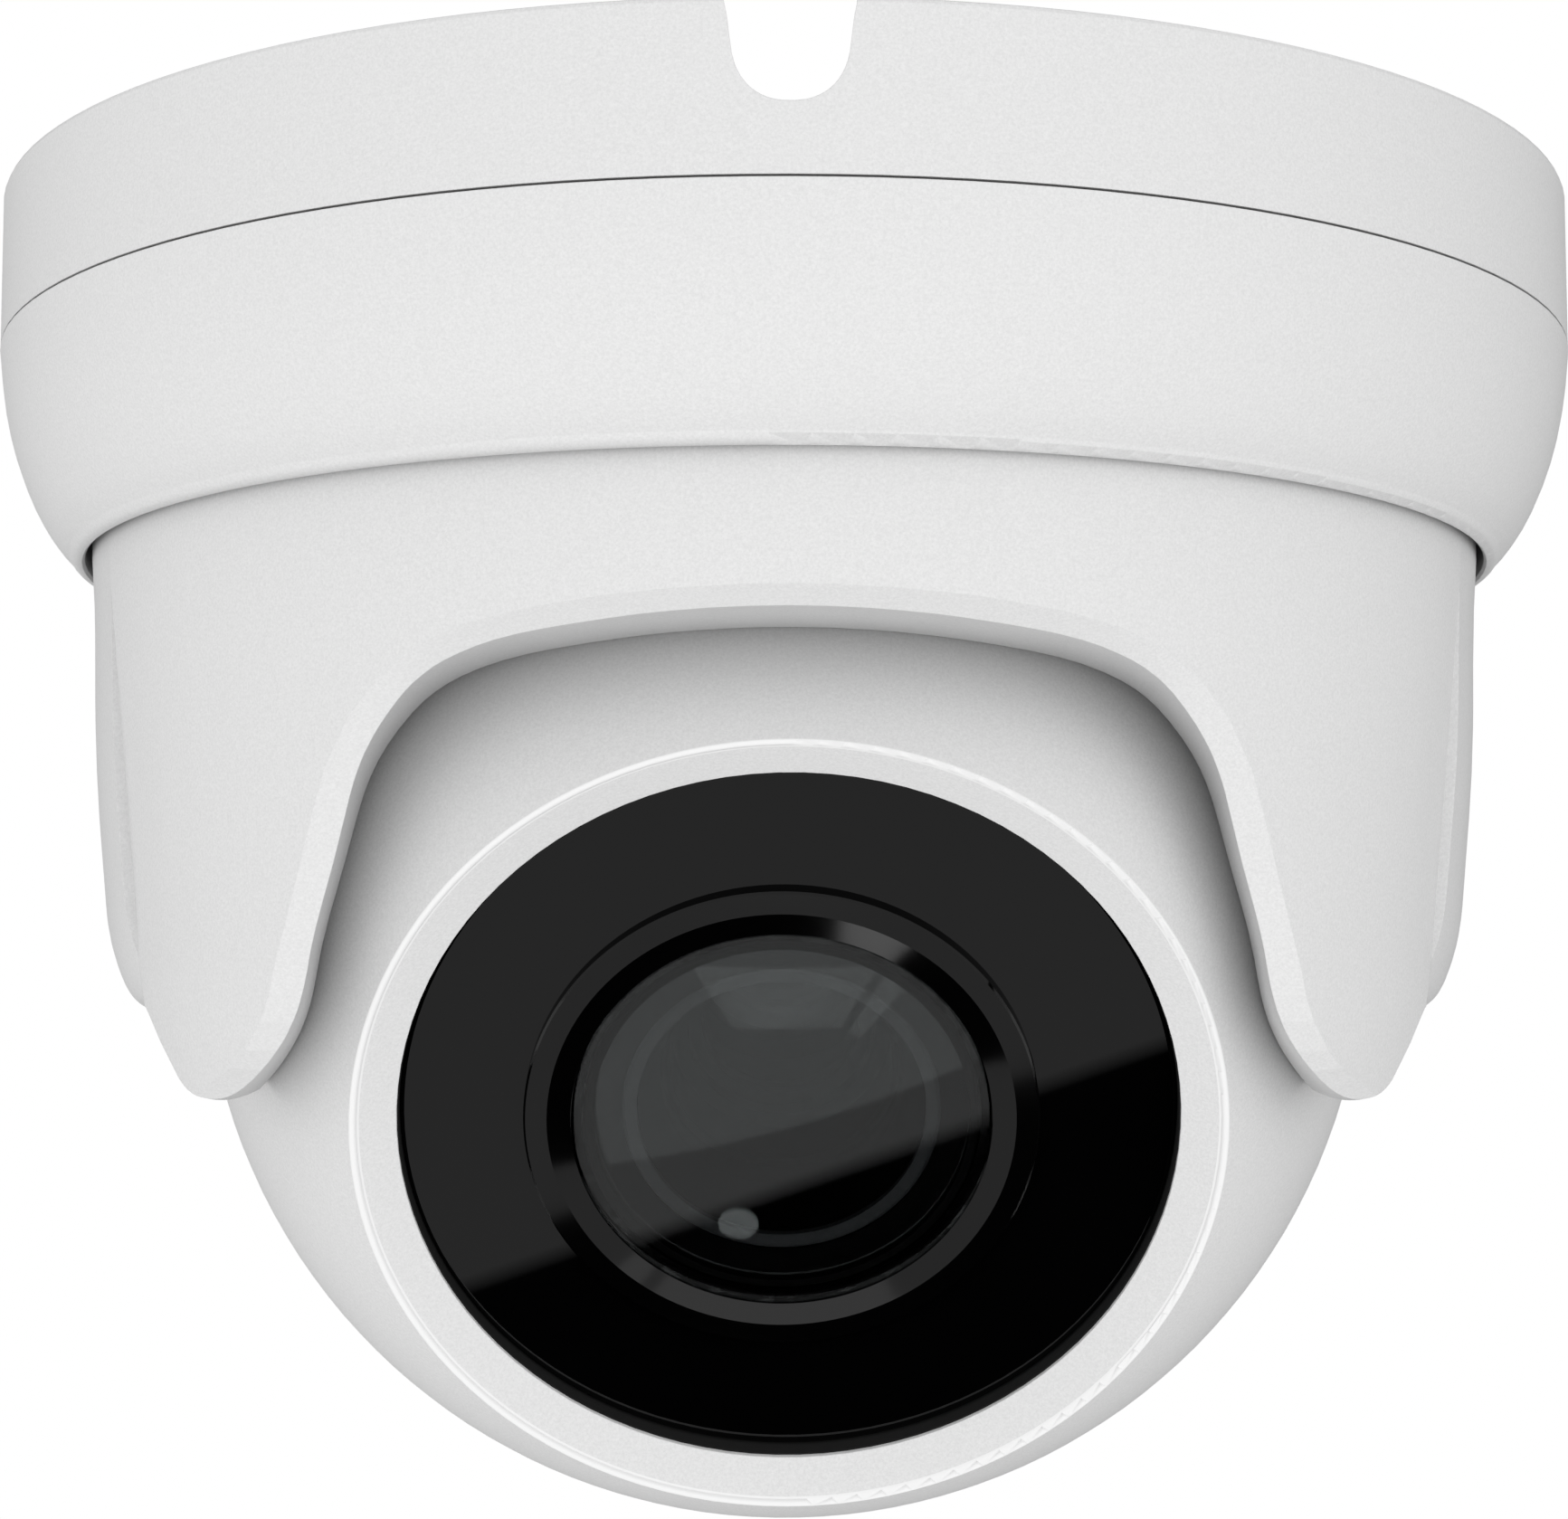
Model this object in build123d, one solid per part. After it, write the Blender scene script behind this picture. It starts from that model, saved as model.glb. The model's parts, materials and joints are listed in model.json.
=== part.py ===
"""Ceiling dome camera: mounting base, twist-off trim ring, panning hood, and a ball that tilts
on a yoke and carries the window, the lamps and a varifocal lens.

Row frame: origin at the centre of the ceiling face, +Z into the ceiling, lens looks along -Y.
Ball frame: origin at the ball's centre, +Z forward along the lens axis, +Y up, X unchanged.
Lens frame: the ball frame moved LENS_X along X. Millimetres and degrees throughout.
"""
from build123d import *
import math
import os

os.makedirs("parts", exist_ok=True)

# ---------------------------------------------------------------- driving dimensions
FAR = 80.0                  # half-size of boxes that only divide space

# Mounting base (row frame)
BASE_R = 59.8
BASE_WALL_R = 57.4          # inside of the side wall
BASE_EASE = 0.35            # eased top outer edge
BASE_BOTTOM = -11.45        # parting line between base and trim ring
FLOOR_TOP, FLOOR_BOTTOM = -7.0, -9.4
FLOOR_HOLE_R = 28.0         # cable opening
SPIGOT_R_IN, SPIGOT_R_OUT, SPIGOT_BOTTOM = 54.4, 56.8, -18.5
FOOT_R_IN, FOOT_TOP = 51.5, -16.5       # inward foot of the spigot
MOUNT_HOLE_R, MOUNT_BOSS_R = 2.25, 5.0
RIB_DEG = (30, 150, 238, 302, 60, 120)
SINK = 0.2                  # overlap of bosses and ribs into the floor

# Bayonet and pan stops
LUG_DEG = (30, 150, 270)
LUG_WIDTH_DEG, LUG_TURN_DEG, LUG_PLAY_DEG = 14, 20, 1.2
BAYONET_TOP, BAYONET_R_OUT = -13.85, 56.9
STOP_WIDTH_DEG = 4.4

# Cable bridge and pigtail
BRIDGE_TOP, BRIDGE_UNDER = -2.0, -3.2   # raised plate of the bridge
BRIDGE_FOOT_TOP = -5.8
CABLE_Z = 8.0               # height at which the cables leave the splitter
SPLIT_Y0, SPLIT_Y1 = 17.0, 27.0
TAIL_X = 4.8                # where the two tails leave the splitter
JACK_Y = 31.5

# Trim ring
RING_TOP = -11.62           # a fine shadow gap under the base
RING_IN_R = 57.2
LEDGE_Z = -21.6             # ledge that carries the hood's flange

# Hood
FLANGE_R, FLANGE_R_IN, FLANGE_TOP, FLANGE_BOTTOM = 55.6, 50.1, -19.55, -21.55
HOOD_TOP_R, HOOD_TOP, HOOD_BOTTOM = 52.75, -27.0, -60.6
VISOR_BOTTOM = -68.5
CREASE_Y = -19.7            # plane where the visor meets the prouder rear band
RETURN_T = 2.0              # thickness of the return wall behind the arch

# Ball
BALL_C = (0.0, 0.0, -54.5)
BALL_R, BALL_IN_R = 44.05, 41.4
BALL_CLEAR_R = 44.85        # spherical clearance the hood keeps to the ball
LENS_DOWN = 30.8            # lens axis below the horizontal at rest
SEAM = -6.0                 # seam between the shells, along the lens axis
REAR_TOP = SEAM - 0.15      # front edge of the rear shell
BACK = -34.0                # flat back of the ball
HUB_END, HUB_R, HUB_BORE_R = -38.9, 8.0, 3.6
BACK_INNER = BACK + 2.5
TRUNNION_R = 3.0

# Yoke
YOKE_HALF_W = 4.3
YOKE_R_IN = 44.4
YOKE_BACK, YOKE_FRONT = -37.4, -35.2    # plate behind the ball

# Window
WINDOW_YAW = 0.33           # the window and its funnel look this far to +X of the lens axis
RIM_R, RIM_D = 27.23, 30.27             # inner rim of the funnel
LIP_R = 30.35                           # lip where the funnel meets the sphere
SEAT_R, SEAT_FRONT, SEAT_BACK = 28.3, 29.95, 23.6
SHELF_R = 33.4
GLASS_R, GLASS_FRONT, GLASS_T = 27.1, 28.85, 2.5
GLASS_BACK = GLASS_FRONT - GLASS_T
BEZEL_BACK = 23.0
PANE_BACK, BEZEL_IN_R = 28.75, 13.95

# Lens
LENS_X = -0.35              # lens and boards sit this far off the ball's centre line
BARREL_R, BARREL_BORE_R, BARREL_FRONT = 9.6, 8.0, 20.5
SLEEVE_R = BARREL_R + 0.05  # bore of whatever slides on the barrel
CELL_R = 7.94               # outside of the inner lens cells
RING_OD = 13.0              # outside radius of the zoom and focus rings
ZOOM_LOCK = (7.5, 5.6)      # lock screw azimuth and place along the axis
FOCUS_LOCK = (187.5, 14.4)
FILTER_X = (0, -7)
FILTER_Z = -8.8

# Plates and boards, along the lens axis
CHASSIS_BACK, CHASSIS_FRONT = 8.0, 10.0
LAMP_BOARD_BACK, LAMP_BOARD_FRONT = 17.0, 18.6
SENSOR_BACK, SENSOR_FRONT = -14.7, -13.1
MAIN_BACK, MAIN_FRONT = -22.6, -21.0
CHIP_BACK = -24.0
SPACER_R, SPACER_BORE_R = 2.1, 1.05


# ---------------------------------------------------------------- helpers
def polar(r, deg):
    return r * math.cos(math.radians(deg)), r * math.sin(math.radians(deg))


def places(r, degrees):
    """Locations round the Z axis, not turned."""
    return [Pos(*polar(r, deg), 0) for deg in degrees]


def sphere_r(radius, z):
    """Radius of a sphere's section at height z."""
    return math.sqrt(radius ** 2 - z ** 2)


def xz_face(start, *steps):
    """Closed face in the XZ plane.

    A step is (x, z) for a line, (mid x, mid z, x, z) for an arc, or a list of points for a spline.
    """
    edges, here = [], start
    for step in steps:
        if isinstance(step, list):
            edges.append(Spline(*[(x, 0, z) for x, z in [here] + step]).edge())
            here = step[-1]
            continue
        end = step[-2:]
        here_3d, end_3d = (here[0], 0, here[1]), (end[0], 0, end[1])
        if len(step) == 2:
            edges.append(Edge.make_line(here_3d, end_3d))
        else:
            edges.append(Edge.make_three_point_arc(here_3d, (step[0], 0, step[1]), end_3d))
        here = end
    if math.dist(here, start) > 1e-6:
        edges.append(Edge.make_line((here[0], 0, here[1]), (start[0], 0, start[1])))
    return Face(Wire(edges))


def rev(start, *steps):
    """Full revolve about Z of an xz_face outline, x being the radius."""
    return revolve(xz_face(start, *steps), Axis.Z, 360)


def rod(r, z0, z1):
    return Pos(0, 0, (z0 + z1) / 2) * Cylinder(r, z1 - z0)


def tube(r_out, r_in, z0, z1):
    return rod(r_out, z0, z1) - rod(r_in, z0 - 1, z1 + 1)


def x_rod(r, length, x, y=0, z=0):
    """Cylinder lying along X, centred on the point."""
    return Pos(x, y, z) * Rot(0, 90, 0) * Cylinder(r, length)


def box(x0, x1, y0, y1, z0, z1):
    return Pos((x0 + x1) / 2, (y0 + y1) / 2, (z0 + z1) / 2) * Box(x1 - x0, y1 - y0, z1 - z0)


def dome(r, z_base, z_edge, z_apex):
    """Round lens blank: flat at z_base, spherical from z_edge at radius r to z_apex."""
    h = abs(z_apex - z_edge)
    rad = (r * r + h * h) / (2 * h)
    if z_apex > z_edge:
        return rod(r, z_base, z_apex + 0.5) & (Pos(0, 0, z_apex - rad) * Sphere(rad))
    return rod(r, z_apex - 0.5, z_base) & (Pos(0, 0, z_apex + rad) * Sphere(rad))


def sector(r_in, r_out, z0, z1, mid_deg, width_deg):
    """Annular block centred on an azimuth."""
    n = 8
    reach = r_out / math.cos(math.radians(width_deg / n / 2))
    points = [polar(reach, mid_deg - width_deg / 2 + width_deg * i / n) for i in range(n + 1)]
    outline = Polyline((0, 0), *points, (0, 0))
    wedge = Pos(0, 0, z0) * extrude(Face(Wire(outline.edges())), amount=z1 - z0)
    return wedge & tube(r_out, r_in, z0, z1)


def cable(points, r, start_dir, end_dir):
    path = Spline(*points, tangents=[start_dir, end_dir])
    return sweep(Plane(origin=path @ 0, z_dir=path % 0) * Circle(r), path=path)


def screw(head, shank):
    """Head and shank, each (radius, z0, z1)."""
    return rod(*head) + rod(*shank)


def save(name, shape, frame):
    """Write one piece; a list holds the piece's separate bodies."""
    if isinstance(shape, list):
        solids = [frame * body for body in shape]
    else:
        solids = list((frame * shape).solids())
    out = solids[0] if len(solids) == 1 else Compound(solids)
    export_step(out, f"parts/{name}.step")


# ---------------------------------------------------------------- frames and hole patterns
LENS_AXIS = (0.0, -math.cos(math.radians(LENS_DOWN)), -math.sin(math.radians(LENS_DOWN)))
ROW_FRAME = Pos(0, 0, 0)
BALL_FRAME = Plane(origin=BALL_C, x_dir=(1, 0, 0), z_dir=LENS_AXIS).location
LENS_SHIFT = Pos(LENS_X, 0, 0)
WINDOW_TURN = Rot(0, WINDOW_YAW, 0)

CROSS_DEG = (0, 90, 180, 270)
DIAGONAL_DEG = (45, 135, 225, 315)
MOUNT_SCREWS = places(42.0, (90, 210, 330))
BRIDGE_SCREWS = [Pos(x, 32.6, 0) for x in (-4, 4)]
SHELL_SCREWS = places(36.0, DIAGONAL_DEG)
CHASSIS_SCREWS = places(33.0, CROSS_DEG)
RETAINER_SCREWS = places(31.0, DIAGONAL_DEG)
LAMP_SCREWS = places(24.3, DIAGONAL_DEG)
LAMPS = places(21.5, [deg for deg in range(0, 360, 30) if deg != 90])   # top place left free
BOARD_SCREWS = [Pos(x, y, 0) for x in (-16.5, 16.5) for y in (-16.5, 16.5)]

# ================================================================ BASE
# Cable notch in the front of the side wall: (x, z)
NOTCH = [(4.15, -0.5), (3.82, -2.7), (3.42, -4.6), (2.6, -5.85), (1.4, -6.58), (0, -6.78),
         (-1.4, -6.58), (-2.6, -5.85), (-3.42, -4.6), (-3.82, -2.7), (-4.15, -0.5)]


def mounting_base():
    """Shallow cup open to the ceiling, with a spigot for the trim ring."""
    base = rev((BASE_WALL_R, 0), (BASE_R - BASE_EASE, 0),
               (BASE_R - BASE_EASE * 0.3, -BASE_EASE * 0.3), (BASE_R, -BASE_EASE),
               (BASE_R, BASE_BOTTOM), (SPIGOT_R_OUT, BASE_BOTTOM), (SPIGOT_R_OUT, SPIGOT_BOTTOM),
               (FOOT_R_IN, SPIGOT_BOTTOM), (FOOT_R_IN, FOOT_TOP), (SPIGOT_R_IN, FOOT_TOP),
               (SPIGOT_R_IN, FLOOR_BOTTOM), (FLOOR_HOLE_R, FLOOR_BOTTOM),
               (FLOOR_HOLE_R, FLOOR_TOP), (BASE_WALL_R, FLOOR_TOP))
    for place in MOUNT_SCREWS:
        base += place * rod(MOUNT_BOSS_R, FLOOR_TOP - SINK, 0)
    for place in MOUNT_SCREWS:
        base -= place * rod(MOUNT_HOLE_R, -12, 2)
    for deg in RIB_DEG:
        base += Rot(0, 0, deg) * box(34, BASE_WALL_R + 0.5, -0.8, 0.8, FLOOR_TOP - SINK, -3.2)
    # collar round the cable opening, cut away where the bridge foot sits
    collar = tube(FLOOR_HOLE_R + 1.8, FLOOR_HOLE_R, FLOOR_TOP - SINK, -5.2)
    base += collar - box(-9, 9, 20, 40, FLOOR_TOP + 0.0001, 0)
    notch = xz_face(NOTCH[0], NOTCH[1:], (-4.3, 2), (4.3, 2))
    base -= Solid.extrude(notch, Vector(0, -8, 0)).moved(Pos(0, -54, 0))
    # bayonet windows: the lug rests at the closed end, the open end runs out at the bottom
    for deg in LUG_DEG:
        base -= sector(53.5, BAYONET_R_OUT, -15.75, BAYONET_TOP, deg + LUG_TURN_DEG / 2,
                       LUG_WIDTH_DEG + LUG_TURN_DEG + LUG_PLAY_DEG)
        base -= sector(54.7, BAYONET_R_OUT, -19, BAYONET_TOP, deg + LUG_TURN_DEG,
                       LUG_WIDTH_DEG + LUG_PLAY_DEG)
    # pan stop tab, at the back
    base += sector(49.0, 52.0, -18.4, FOOT_TOP, 90, STOP_WIDTH_DEG)
    for place in BRIDGE_SCREWS:
        base -= place * rod(1.3, -10, -6)
    return base


def pan_friction_ring():
    return tube(55.4, 51.8, SPIGOT_BOTTOM - 1, SPIGOT_BOTTOM)


def cable_bridge():
    """Foot on the base floor, riser, and a plate reaching over the cable opening."""
    bridge = box(-6, 6, 28.8, 36.2, FLOOR_TOP, BRIDGE_FOOT_TOP)
    bridge += box(-6, 6, 28.8, 30.0, FLOOR_TOP, BRIDGE_TOP)
    bridge += box(-6, 6, 0, 30.0, BRIDGE_UNDER, BRIDGE_TOP)
    bridge += rod(6.0, BRIDGE_UNDER, BRIDGE_TOP)
    bridge -= rod(3.6, -4, -1)
    for place in BRIDGE_SCREWS:
        bridge -= place * rod(1.5, -8, -4)
    return bridge


def bridge_screws():
    one = screw(head=(1.85, BRIDGE_FOOT_TOP, -4.6), shank=(1.2, -9.0, BRIDGE_FOOT_TOP))
    return [place * one for place in BRIDGE_SCREWS]


def cable_grommet():
    return rev((2.55, -4.6), (4.6, -4.6), (5.0, -4.2), (5.0, BRIDGE_UNDER), (3.55, BRIDGE_UNDER),
               (3.55, BRIDGE_TOP), (5.0, BRIDGE_TOP), (5.0, -1.2), (4.2, -0.6), (2.55, -0.6))


def pigtail_cable():
    """Y cable: trunk from the grommet, splitter block, network tail and power tail."""
    trunk = cable([(0, 0, -4.7), (0, 0, -2.0), (0, 0, 0.5), (0, 2.6, 6.2), (0, 9.0, CABLE_Z),
                   (0, SPLIT_Y0, CABLE_Z)], 2.46, (0, 0, 1), (0, 1, 0))
    splitter = box(-8, 8, SPLIT_Y0, SPLIT_Y1, CABLE_Z - 4, CABLE_Z + 4)
    splitter = fillet(splitter.edges().filter_by(Axis.Y), 2.2)
    network = cable([(TAIL_X, SPLIT_Y1, CABLE_Z), (6.0, 30.5, CABLE_Z), (11.15, 33.6, CABLE_Z)],
                    1.9, (0, 1, 0), (1, 0, 0))
    power = cable([(-TAIL_X, SPLIT_Y1, CABLE_Z), (-6.2, 30.4, CABLE_Z), (-9.0, JACK_Y, CABLE_Z),
                   (-11.9, JACK_Y, CABLE_Z)], 1.4, (0, 1, 0), (-1, 0, 0))
    return [trunk, splitter, network, power]


def network_socket():
    """Socket block, open towards +Y, with eight contacts."""
    body = box(11.2, 27.0, 28.0, 46.0, 1.5, 15.0)
    body = fillet(body.edges().filter_by(Axis.Z), 1.6)
    port = box(13.1, 24.9, 36.0, 46.5, 3.6, 11.6) + box(16.0, 22.0, 36.0, 46.5, 11.0, 13.4)
    pitch = 1.25
    contacts = [box(14.6 + pitch * i, 15.0 + pitch * i, 36.0, 44.5, 3.6, 4.6) for i in range(8)]
    return [body - port] + contacts


def power_jack():
    """Barrel jack, open towards -X, with its centre pin."""
    body = x_rod(5.0, 22.0, -23.0, JACK_Y, CABLE_Z) - x_rod(2.85, 11.0, -28.6, JACK_Y, CABLE_Z)
    body += x_rod(5.5, 3.0, -13.6, JACK_Y, CABLE_Z)
    return [body, x_rod(1.0, 10.8, -28.5, JACK_Y, CABLE_Z)]


# ================================================================ TRIM RING
# Outer face, top to bottom: (radius, z)
RING_OUTER = [(59.82, RING_TOP), (59.66, -13.43), (59.21, -16.54), (58.47, -19.44),
              (57.51, -22.02), (56.38, -24.20), (55.15, -25.89), (54.53, -26.54)]


def trim_ring():
    """Ring that twists off the base on three bayonet lugs."""
    ring = rev(RING_OUTER[0], RING_OUTER[1:], (54.12, -27.06, 53.5, -27.3), (53.3, -27.1),
               (53.3, LEDGE_Z), (55.9, LEDGE_Z), (55.9, -19.2), (RING_IN_R, -18.9),
               (RING_IN_R, RING_TOP))
    for deg in LUG_DEG:
        ring += sector(55.0, RING_IN_R + 0.3, -15.6, -14.0, deg, LUG_WIDTH_DEG)
    return ring


# ================================================================ HOOD
# Outer profiles, top to bottom: (radius, z)
REAR_PROFILE = [(HOOD_TOP_R, HOOD_TOP), (52.4, -34.0), (52.26, -40.0), (51.9, -46.0),
                (51.44, -51.0), (50.97, -55.0), (50.1, -58.0), (48.9, -60.0),
                (47.5, HOOD_BOTTOM)]
VISOR_PROFILE = [(HOOD_TOP_R, HOOD_TOP), (52.25, -34.0), (51.72, -40.0), (51.2, -46.0),
                 (50.75, -51.0), (50.4, -55.0), (49.95, -60.0), (49.2, -64.0),
                 (48.3, VISOR_BOTTOM)]
# Inner faces, bottom to top: (radius, z)
REAR_INNER = [(44.8, HOOD_BOTTOM), (44.8, -59.1), (48.2, -59.1), (48.75, -55.0), (49.2, -50.0),
              (49.7, -40.0), (50.1, -28.0)]
VISOR_INNER = [(45.8, VISOR_BOTTOM), (47.4, -60.0), (48.1, -52.0), (49.1, -40.0), (50.1, -28.0)]
FLANGE = [(FLANGE_R_IN, FLANGE_TOP), (FLANGE_R, FLANGE_TOP), (FLANGE_R, FLANGE_BOTTOM),
          (HOOD_TOP_R, FLANGE_BOTTOM)]
# Arched opening in front view, +X half from top centre to ear tip: (x, z).
# ARCH_INNER and ARCH_OUTER are the two edges of its bevel, paired point by point.
ARCH_INNER = [(0, -37.08), (5, -37.2), (9.6, -37.5), (14.3, -38.0), (17.9, -38.5),
              (21.5, -39.45), (24, -40.7), (26.2, -42.8), (27.5, -44.6), (28.5, -46.6),
              (29.4, -49.5), (30.2, -52.4), (31.1, -55.3), (31.9, -58.2), (32.6, -61.2),
              (33.3, -62.9), (34.6, -64.8), (35.9, -66.1), (37.4, -67.2)]
ARCH_OUTER = [(0, -35.93), (4.9, -36.05), (9.5, -36.3), (14.2, -36.75), (17.7, -37.2),
              (21.3, -37.95), (24.0, -38.95), (26.8, -40.8), (29.0, -43.3), (30.7, -46.6),
              (31.6, -49.5), (32.4, -52.4), (33.2, -55.3), (34.0, -58.2), (34.8, -61.2),
              (35.5, -62.9), (36.8, -64.8), (38.0, -65.9), (39.4, -66.7)]
# Ear outline from its tip up towards the crease: (x, z)
EAR = [(38.6, -67.75), (40.2, -67.85), (41.5, -67.4), (43.0, -65.8), (44.4, -63.4),
       (45.6, -61.2)]
# Run-out of the bevel beyond the ear tip: (x, z)
RUNOUT_OUTER = [(41.6, -68.0), (43.4, -69.2)]
RUNOUT_INNER = [(39.4, -68.75), (41.2, -70.2)]


def ball_clearance(radius):
    return Pos(*BALL_C) * Sphere(radius)


def ahead_of_crease(z0, z1):
    return box(-FAR, FAR, -FAR, CREASE_Y, z0, z1)


def mirrored(points):
    return [(-x, z) for x, z in reversed(points)]


def lower_edge(shrink):
    """Visor's lower edge in front view, +X half, moved inwards by shrink and thinned out."""
    low = ARCH_INNER + EAR
    kept = []
    for i, (x, z) in enumerate(low):
        before, after = low[max(i - 1, 0)], low[min(i + 1, len(low) - 1)]
        dx, dz = (after[0] - before[0], after[1] - before[1]) if i else (1, 0)
        length = math.hypot(dx, dz)
        point = (x - dz / length * shrink, z + dx / length * shrink)
        if not kept or math.dist(point, kept[-1]) > 0.9:
            kept.append(point)
    return kept


def visor_prism(shrink):
    """Kept region of the visor in front view, extruded forwards."""
    right = lower_edge(shrink)
    curve = mirrored(right[1:]) + right
    side_x = right[-1][0] + 1.2
    side_z = HOOD_BOTTOM + shrink
    face = xz_face(curve[0], curve[1:], (side_x, side_z), (70, side_z), (70, -15), (-70, -15),
                   (-70, side_z), (-side_x, side_z))
    return Solid.extrude(face, Vector(0, -70, 0))


def visor():
    """Front of the hood: skin, flange, return wall behind the arch, and two ears."""
    skin = rev(VISOR_PROFILE[0], VISOR_PROFILE[1:], *VISOR_INNER, *FLANGE)
    filled = rev(VISOR_PROFILE[0], VISOR_PROFILE[1:], (0, VISOR_BOTTOM), (0, HOOD_TOP))
    front_half = ahead_of_crease(-FAR, 0)
    keep = visor_prism(0)
    clearance = ball_clearance(BALL_CLEAR_R)
    shape = (skin & front_half) & keep
    shape += tube(FLANGE_R, FLANGE_R_IN, FLANGE_BOTTOM, FLANGE_TOP) & front_half
    block = (filled & front_half) & keep
    return_wall = (block - visor_prism(RETURN_T)) - clearance
    shape += return_wall & ahead_of_crease(-FAR, -30)
    shape += (block - clearance) & ahead_of_crease(-FAR, -58.6)
    # slanting cuts shape the ears' rear edges, from the crease down to the tip
    for side in (1, -1):
        slant = Plane(origin=(side * 46.05, -19.2, -60.5), z_dir=(side * 3.077, 6.176, -6.492))
        cut = slant.location * (Pos(0, 0, 30) * Box(90, 90, 60))
        x0, x1 = (0, FAR) if side > 0 else (-FAR, 0)
        shape -= cut & box(x0, x1, -FAR, CREASE_Y + 1, -FAR, -57)
    return shape


def on_visor(x, z, offset):
    """Point on the visor's outer face at front-view place (x, z), offset radially."""
    radius = VISOR_PROFILE[-1][0]
    for (r0, z0), (r1, z1) in zip(VISOR_PROFILE, VISOR_PROFILE[1:]):
        if z0 >= z >= z1:
            radius = r0 + (r1 - r0) * (z0 - z) / (z0 - z1)
            break
    radius += offset
    return Vector(x, -math.sqrt(max(radius * radius - x * x, 1.0)), z)


def arch_bevel():
    """Lofted cutter through paired points of the arch's outer and inner edges."""
    outer = ARCH_OUTER + RUNOUT_OUTER
    inner = ARCH_INNER + RUNOUT_INNER
    sections = []
    for outer_point, inner_point in zip(mirrored(outer[1:]) + outer,
                                        mirrored(inner[1:]) + inner):
        start = on_visor(*outer_point, 0.0)
        end = on_visor(*inner_point, -1.5)
        slope = (end - start).normalized()
        outward = Vector(start.X, start.Y, 0).normalized()
        low_start, low_end = start - slope * 0.6, end + slope * 0.5
        corners = [low_start, low_end, low_end + outward * 4.5 + slope * 1.0,
                   low_start + outward * 2.2]
        sections.append(Wire.make_polygon(corners, close=True))
    return Solid.make_loft(sections, ruled=True)


def hood_shell():
    """Panning hood: round rear band, visor with arched opening, trunnion sockets."""
    rear = rev(REAR_PROFILE[0], REAR_PROFILE[1:], *REAR_INNER, *FLANGE)
    rear_filled = rev(REAR_PROFILE[0], REAR_PROFILE[1:], (0, HOOD_BOTTOM), (0, HOOD_TOP))
    hood = (rear & box(-FAR, FAR, CREASE_Y, FAR, -FAR, 0)) + visor()
    hood = hood - ball_clearance(BALL_CLEAR_R - 0.25)
    hood = hood - arch_bevel()
    for side in (1, -1):
        hood = hood + (x_rod(6.2, 2.2, side * 48.9, z=BALL_C[2]) & rear_filled)
    for side in (1, -1):
        hood = hood - x_rod(TRUNNION_R + 0.05, 2.6, side * 48.8, z=BALL_C[2])
    # pan stop peg, at the front on top of the flange
    hood = hood + sector(49.0, 51.2, FLANGE_TOP - 1.0, -17.0, 270, STOP_WIDTH_DEG)
    # only the main body; slivers left by the cuts are dropped
    return max(hood.solids(), key=lambda s: s.volume)


def tilt_friction_washers():
    return [x_rod(4.4, 0.5, side * 47.5, z=BALL_C[2])
            - x_rod(TRUNNION_R + 0.1, 2, side * 47.5, z=BALL_C[2]) for side in (1, -1)]


def flex_lead():
    """Lead from the base to the back of the ball."""
    end = tuple(c - 43.05 * n for c, n in zip(BALL_C, LENS_AXIS))
    return cable([(0, 0, -4.8), (0, 3.4, -7.9), (0, 14.0, -9.7), (0, 27.0, -14.3),
                  (0, 38.3, -20.5), (0, 42.9, -26.6), end], 1.6, (0, 0, -1), LENS_AXIS)


# ================================================================ YOKE (ball frame)
def tilt_yoke():
    """Two spherical arms on a plate behind the ball, with trunnion pins."""
    band = box(-60, 60, -YOKE_HALF_W, YOKE_HALF_W, YOKE_BACK, 0) + x_rod(YOKE_HALF_W, 120, 0)
    arms = (Sphere(46.8) - Sphere(YOKE_R_IN)) & band
    # keep the space between the arm tips clear
    arms -= box(-44, 44, -20, 20, 0, 20)
    yoke = arms & box(-60, 60, -20, 20, YOKE_BACK, YOKE_HALF_W)
    yoke += box(-28.0, 28.0, -YOKE_HALF_W, YOKE_HALF_W, YOKE_BACK, YOKE_FRONT)
    yoke += rod(13.0, YOKE_BACK, YOKE_FRONT)
    for side in (1, -1):
        yoke += x_rod(YOKE_HALF_W, 2.5, side * 45.95) - Sphere(YOKE_R_IN)
        yoke += x_rod(TRUNNION_R, 3.9, side * 47.9)
    yoke -= rod(HUB_R + 0.06, -39, -33)
    return max(yoke.solids(), key=lambda s: s.volume)


def roll_friction_ring():
    return tube(12.0, 9.0, -35.15, -34.05)


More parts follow.
